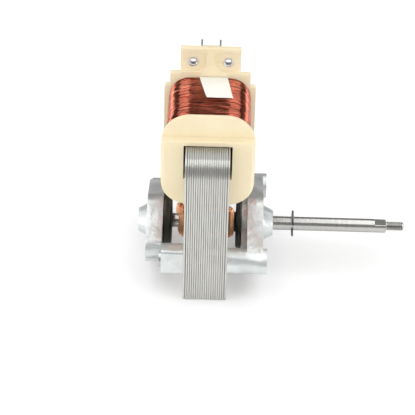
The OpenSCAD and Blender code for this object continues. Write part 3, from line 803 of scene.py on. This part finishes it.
def make_parts():
    """All pieces of the motor, each in place of its CAD node."""
    laminate("stator_core", "core_sheets", SHEET_COUNT)
    laminate("coil_core", "limb_sheets", SHEET_COUNT)
    dress("bobbin", 0.35, 3)
    make_winding()
    make_tape()
    for side in ("left", "right"):
        make_eyelet("eyelet_" + side)
        dress("terminal_" + side, 0.12)
    make_shading_ring("shading_ring_front", 1)
    make_shading_ring("shading_ring_back", -1)
    dress("output_bracket", 0.7, 3)
    dress("rear_bracket", 0.9, 4)
    for node in ("output_cap", "rear_cap"):
        dress(node, 0.2)
    for node in ("output_bearing", "rear_bearing", "thrust_washers"):
        dress(node, 0.12)
    for node in ("output_felt", "rear_felt"):
        dress(node, 0.3)
    for node in ("rotor_core", "rotor_cage", "output_collar", "rear_collar", "through_screws"):
        dress(node, 0.2)
    dress("retaining_clip", 0.1)
    make_shaft()


# Stage, light and camera


def make_floor():
    """Plain white floor just below the core, which looks a little lighter to the camera."""
    bpy.ops.mesh.primitive_grid_add(x_subdivisions=2, y_subdivisions=2, size=6)
    floor = bpy.context.object
    floor.name = "floor"
    floor.location = (0, 0, FLOOR_Z * MM - 0.00002)
    material, nodes, links, bsdf = new_material("floor_white")
    bsdf.inputs["Base Color"].default_value = (0.88, 0.88, 0.88, 1)
    bsdf.inputs["Roughness"].default_value = 0.6
    bsdf.inputs["Specular IOR Level"].default_value = 0.2
    glow = nodes.new("ShaderNodeEmission")
    path = nodes.new("ShaderNodeLightPath")
    scale = nodes.new("ShaderNodeMath")
    scale.operation = "MULTIPLY"
    scale.inputs[1].default_value = FLOOR_GLOW
    links.new(path.outputs["Is Camera Ray"], scale.inputs[0])
    links.new(scale.outputs[0], glow.inputs["Strength"])
    add = nodes.new("ShaderNodeAddShader")
    links.new(bsdf.outputs[0], add.inputs[0])
    links.new(glow.outputs[0], add.inputs[1])
    links.new(add.outputs[0], nodes["Material Output"].inputs["Surface"])
    floor.data.materials.append(material)


def make_world():
    """White world that lights weakly and fills the background."""
    world = bpy.data.worlds.new("studio")
    bpy.context.scene.world = world
    world.use_nodes = True
    nodes, links = world.node_tree.nodes, world.node_tree.links
    background = nodes["Background"]
    background.inputs["Color"].default_value = (1, 1, 1, 1)
    path = nodes.new("ShaderNodeLightPath")
    mix = nodes.new("ShaderNodeMix")
    mix.inputs["A"].default_value = WORLD_LIGHT
    mix.inputs["B"].default_value = WORLD_GLINT
    links.new(path.outputs["Is Glossy Ray"], mix.inputs["Factor"])
    seen = nodes.new("ShaderNodeMix")
    seen.inputs["B"].default_value = BACKDROP
    links.new(path.outputs["Is Camera Ray"], seen.inputs["Factor"])
    links.new(mix.outputs["Result"], seen.inputs["A"])
    links.new(seen.outputs["Result"], background.inputs["Strength"])


def area_light(name, where, size, power, aim=(0, 0, 0.03)):
    """Rectangular softbox at a place in metres, turned to its aim."""
    data = bpy.data.lights.new(name, "AREA")
    data.shape = "RECTANGLE"
    data.size, data.size_y = size
    data.energy = power
    light = bpy.data.objects.new(name, data)
    bpy.context.scene.collection.objects.link(light)
    light.location = where
    light.rotation_euler = (Vector(aim) - Vector(where)).to_track_quat("-Z", "Y").to_euler()
    return light


def make_lights():
    """Two softboxes overhead, one low at each side, and a fill over the camera without a glint."""
    area_light("upper_left", (-0.42, 0, 0.7), (0.6, 1.1), 3.6, (-0.42, 0, 0))
    area_light("upper_right", (0.355, 0, 0.7), (0.64, 1.1), 3.8, (0.355, 0, 0))
    area_light("low_left", (-1.0, -0.1, 0.17), (1.5, 0.28), 4.6)
    area_light("low_right", (1.0, -0.1, 0.17), (1.5, 0.28), 4.2)
    fill = area_light("fill", (0, -1.1, 0.2), (1.2, 0.4), 4.2)
    fill.visible_glossy = False


# Angles in degrees, the focal length and the side of the picture in pixels, the rest in millimetres
CAMERA_AZIMUTH = -0.26
CAMERA_ELEVATION = 35.3
CAMERA_ROLL = 1.5
CAMERA_DISTANCE = 870
CAMERA_FOCAL = 1990
AIM_X = 0.28
AIM_Z = 7.2
IMAGE_SIDE = 415
SENSOR = 36


def make_camera():
    """Camera at the photograph's viewing angle, turned slightly about its own axis."""
    azimuth, elevation = math.radians(CAMERA_AZIMUTH), math.radians(CAMERA_ELEVATION)
    roll = math.radians(CAMERA_ROLL)
    forward = Vector((
        math.sin(azimuth) * math.cos(elevation),
        math.cos(azimuth) * math.cos(elevation),
        -math.sin(elevation),
    ))
    right = Vector((math.cos(azimuth), -math.sin(azimuth), 0))
    up = right.cross(forward)
    right, up = (
        math.cos(roll) * right + math.sin(roll) * up,
        math.cos(roll) * up - math.sin(roll) * right,
    )
    aim = Vector((STACK_MID + AIM_X, 0, AIM_Z)) * MM
    data = bpy.data.cameras.new("camera")
    data.sensor_width = SENSOR
    data.lens = SENSOR * CAMERA_FOCAL / IMAGE_SIDE
    data.clip_start = 0.05
    data.clip_end = 20
    camera = bpy.data.objects.new("camera", data)
    bpy.context.scene.collection.objects.link(camera)
    camera.matrix_world = Matrix.Translation(aim - forward * CAMERA_DISTANCE * MM) @ Matrix((
        (right.x, up.x, -forward.x, 0),
        (right.y, up.y, -forward.y, 0),
        (right.z, up.z, -forward.z, 0),
        (0, 0, 0, 1),
    ))
    bpy.context.scene.camera = camera


make_camera()
make_world()
make_lights()
make_floor()
make_parts()
bpy.context.scene.view_settings.view_transform = "Standard"
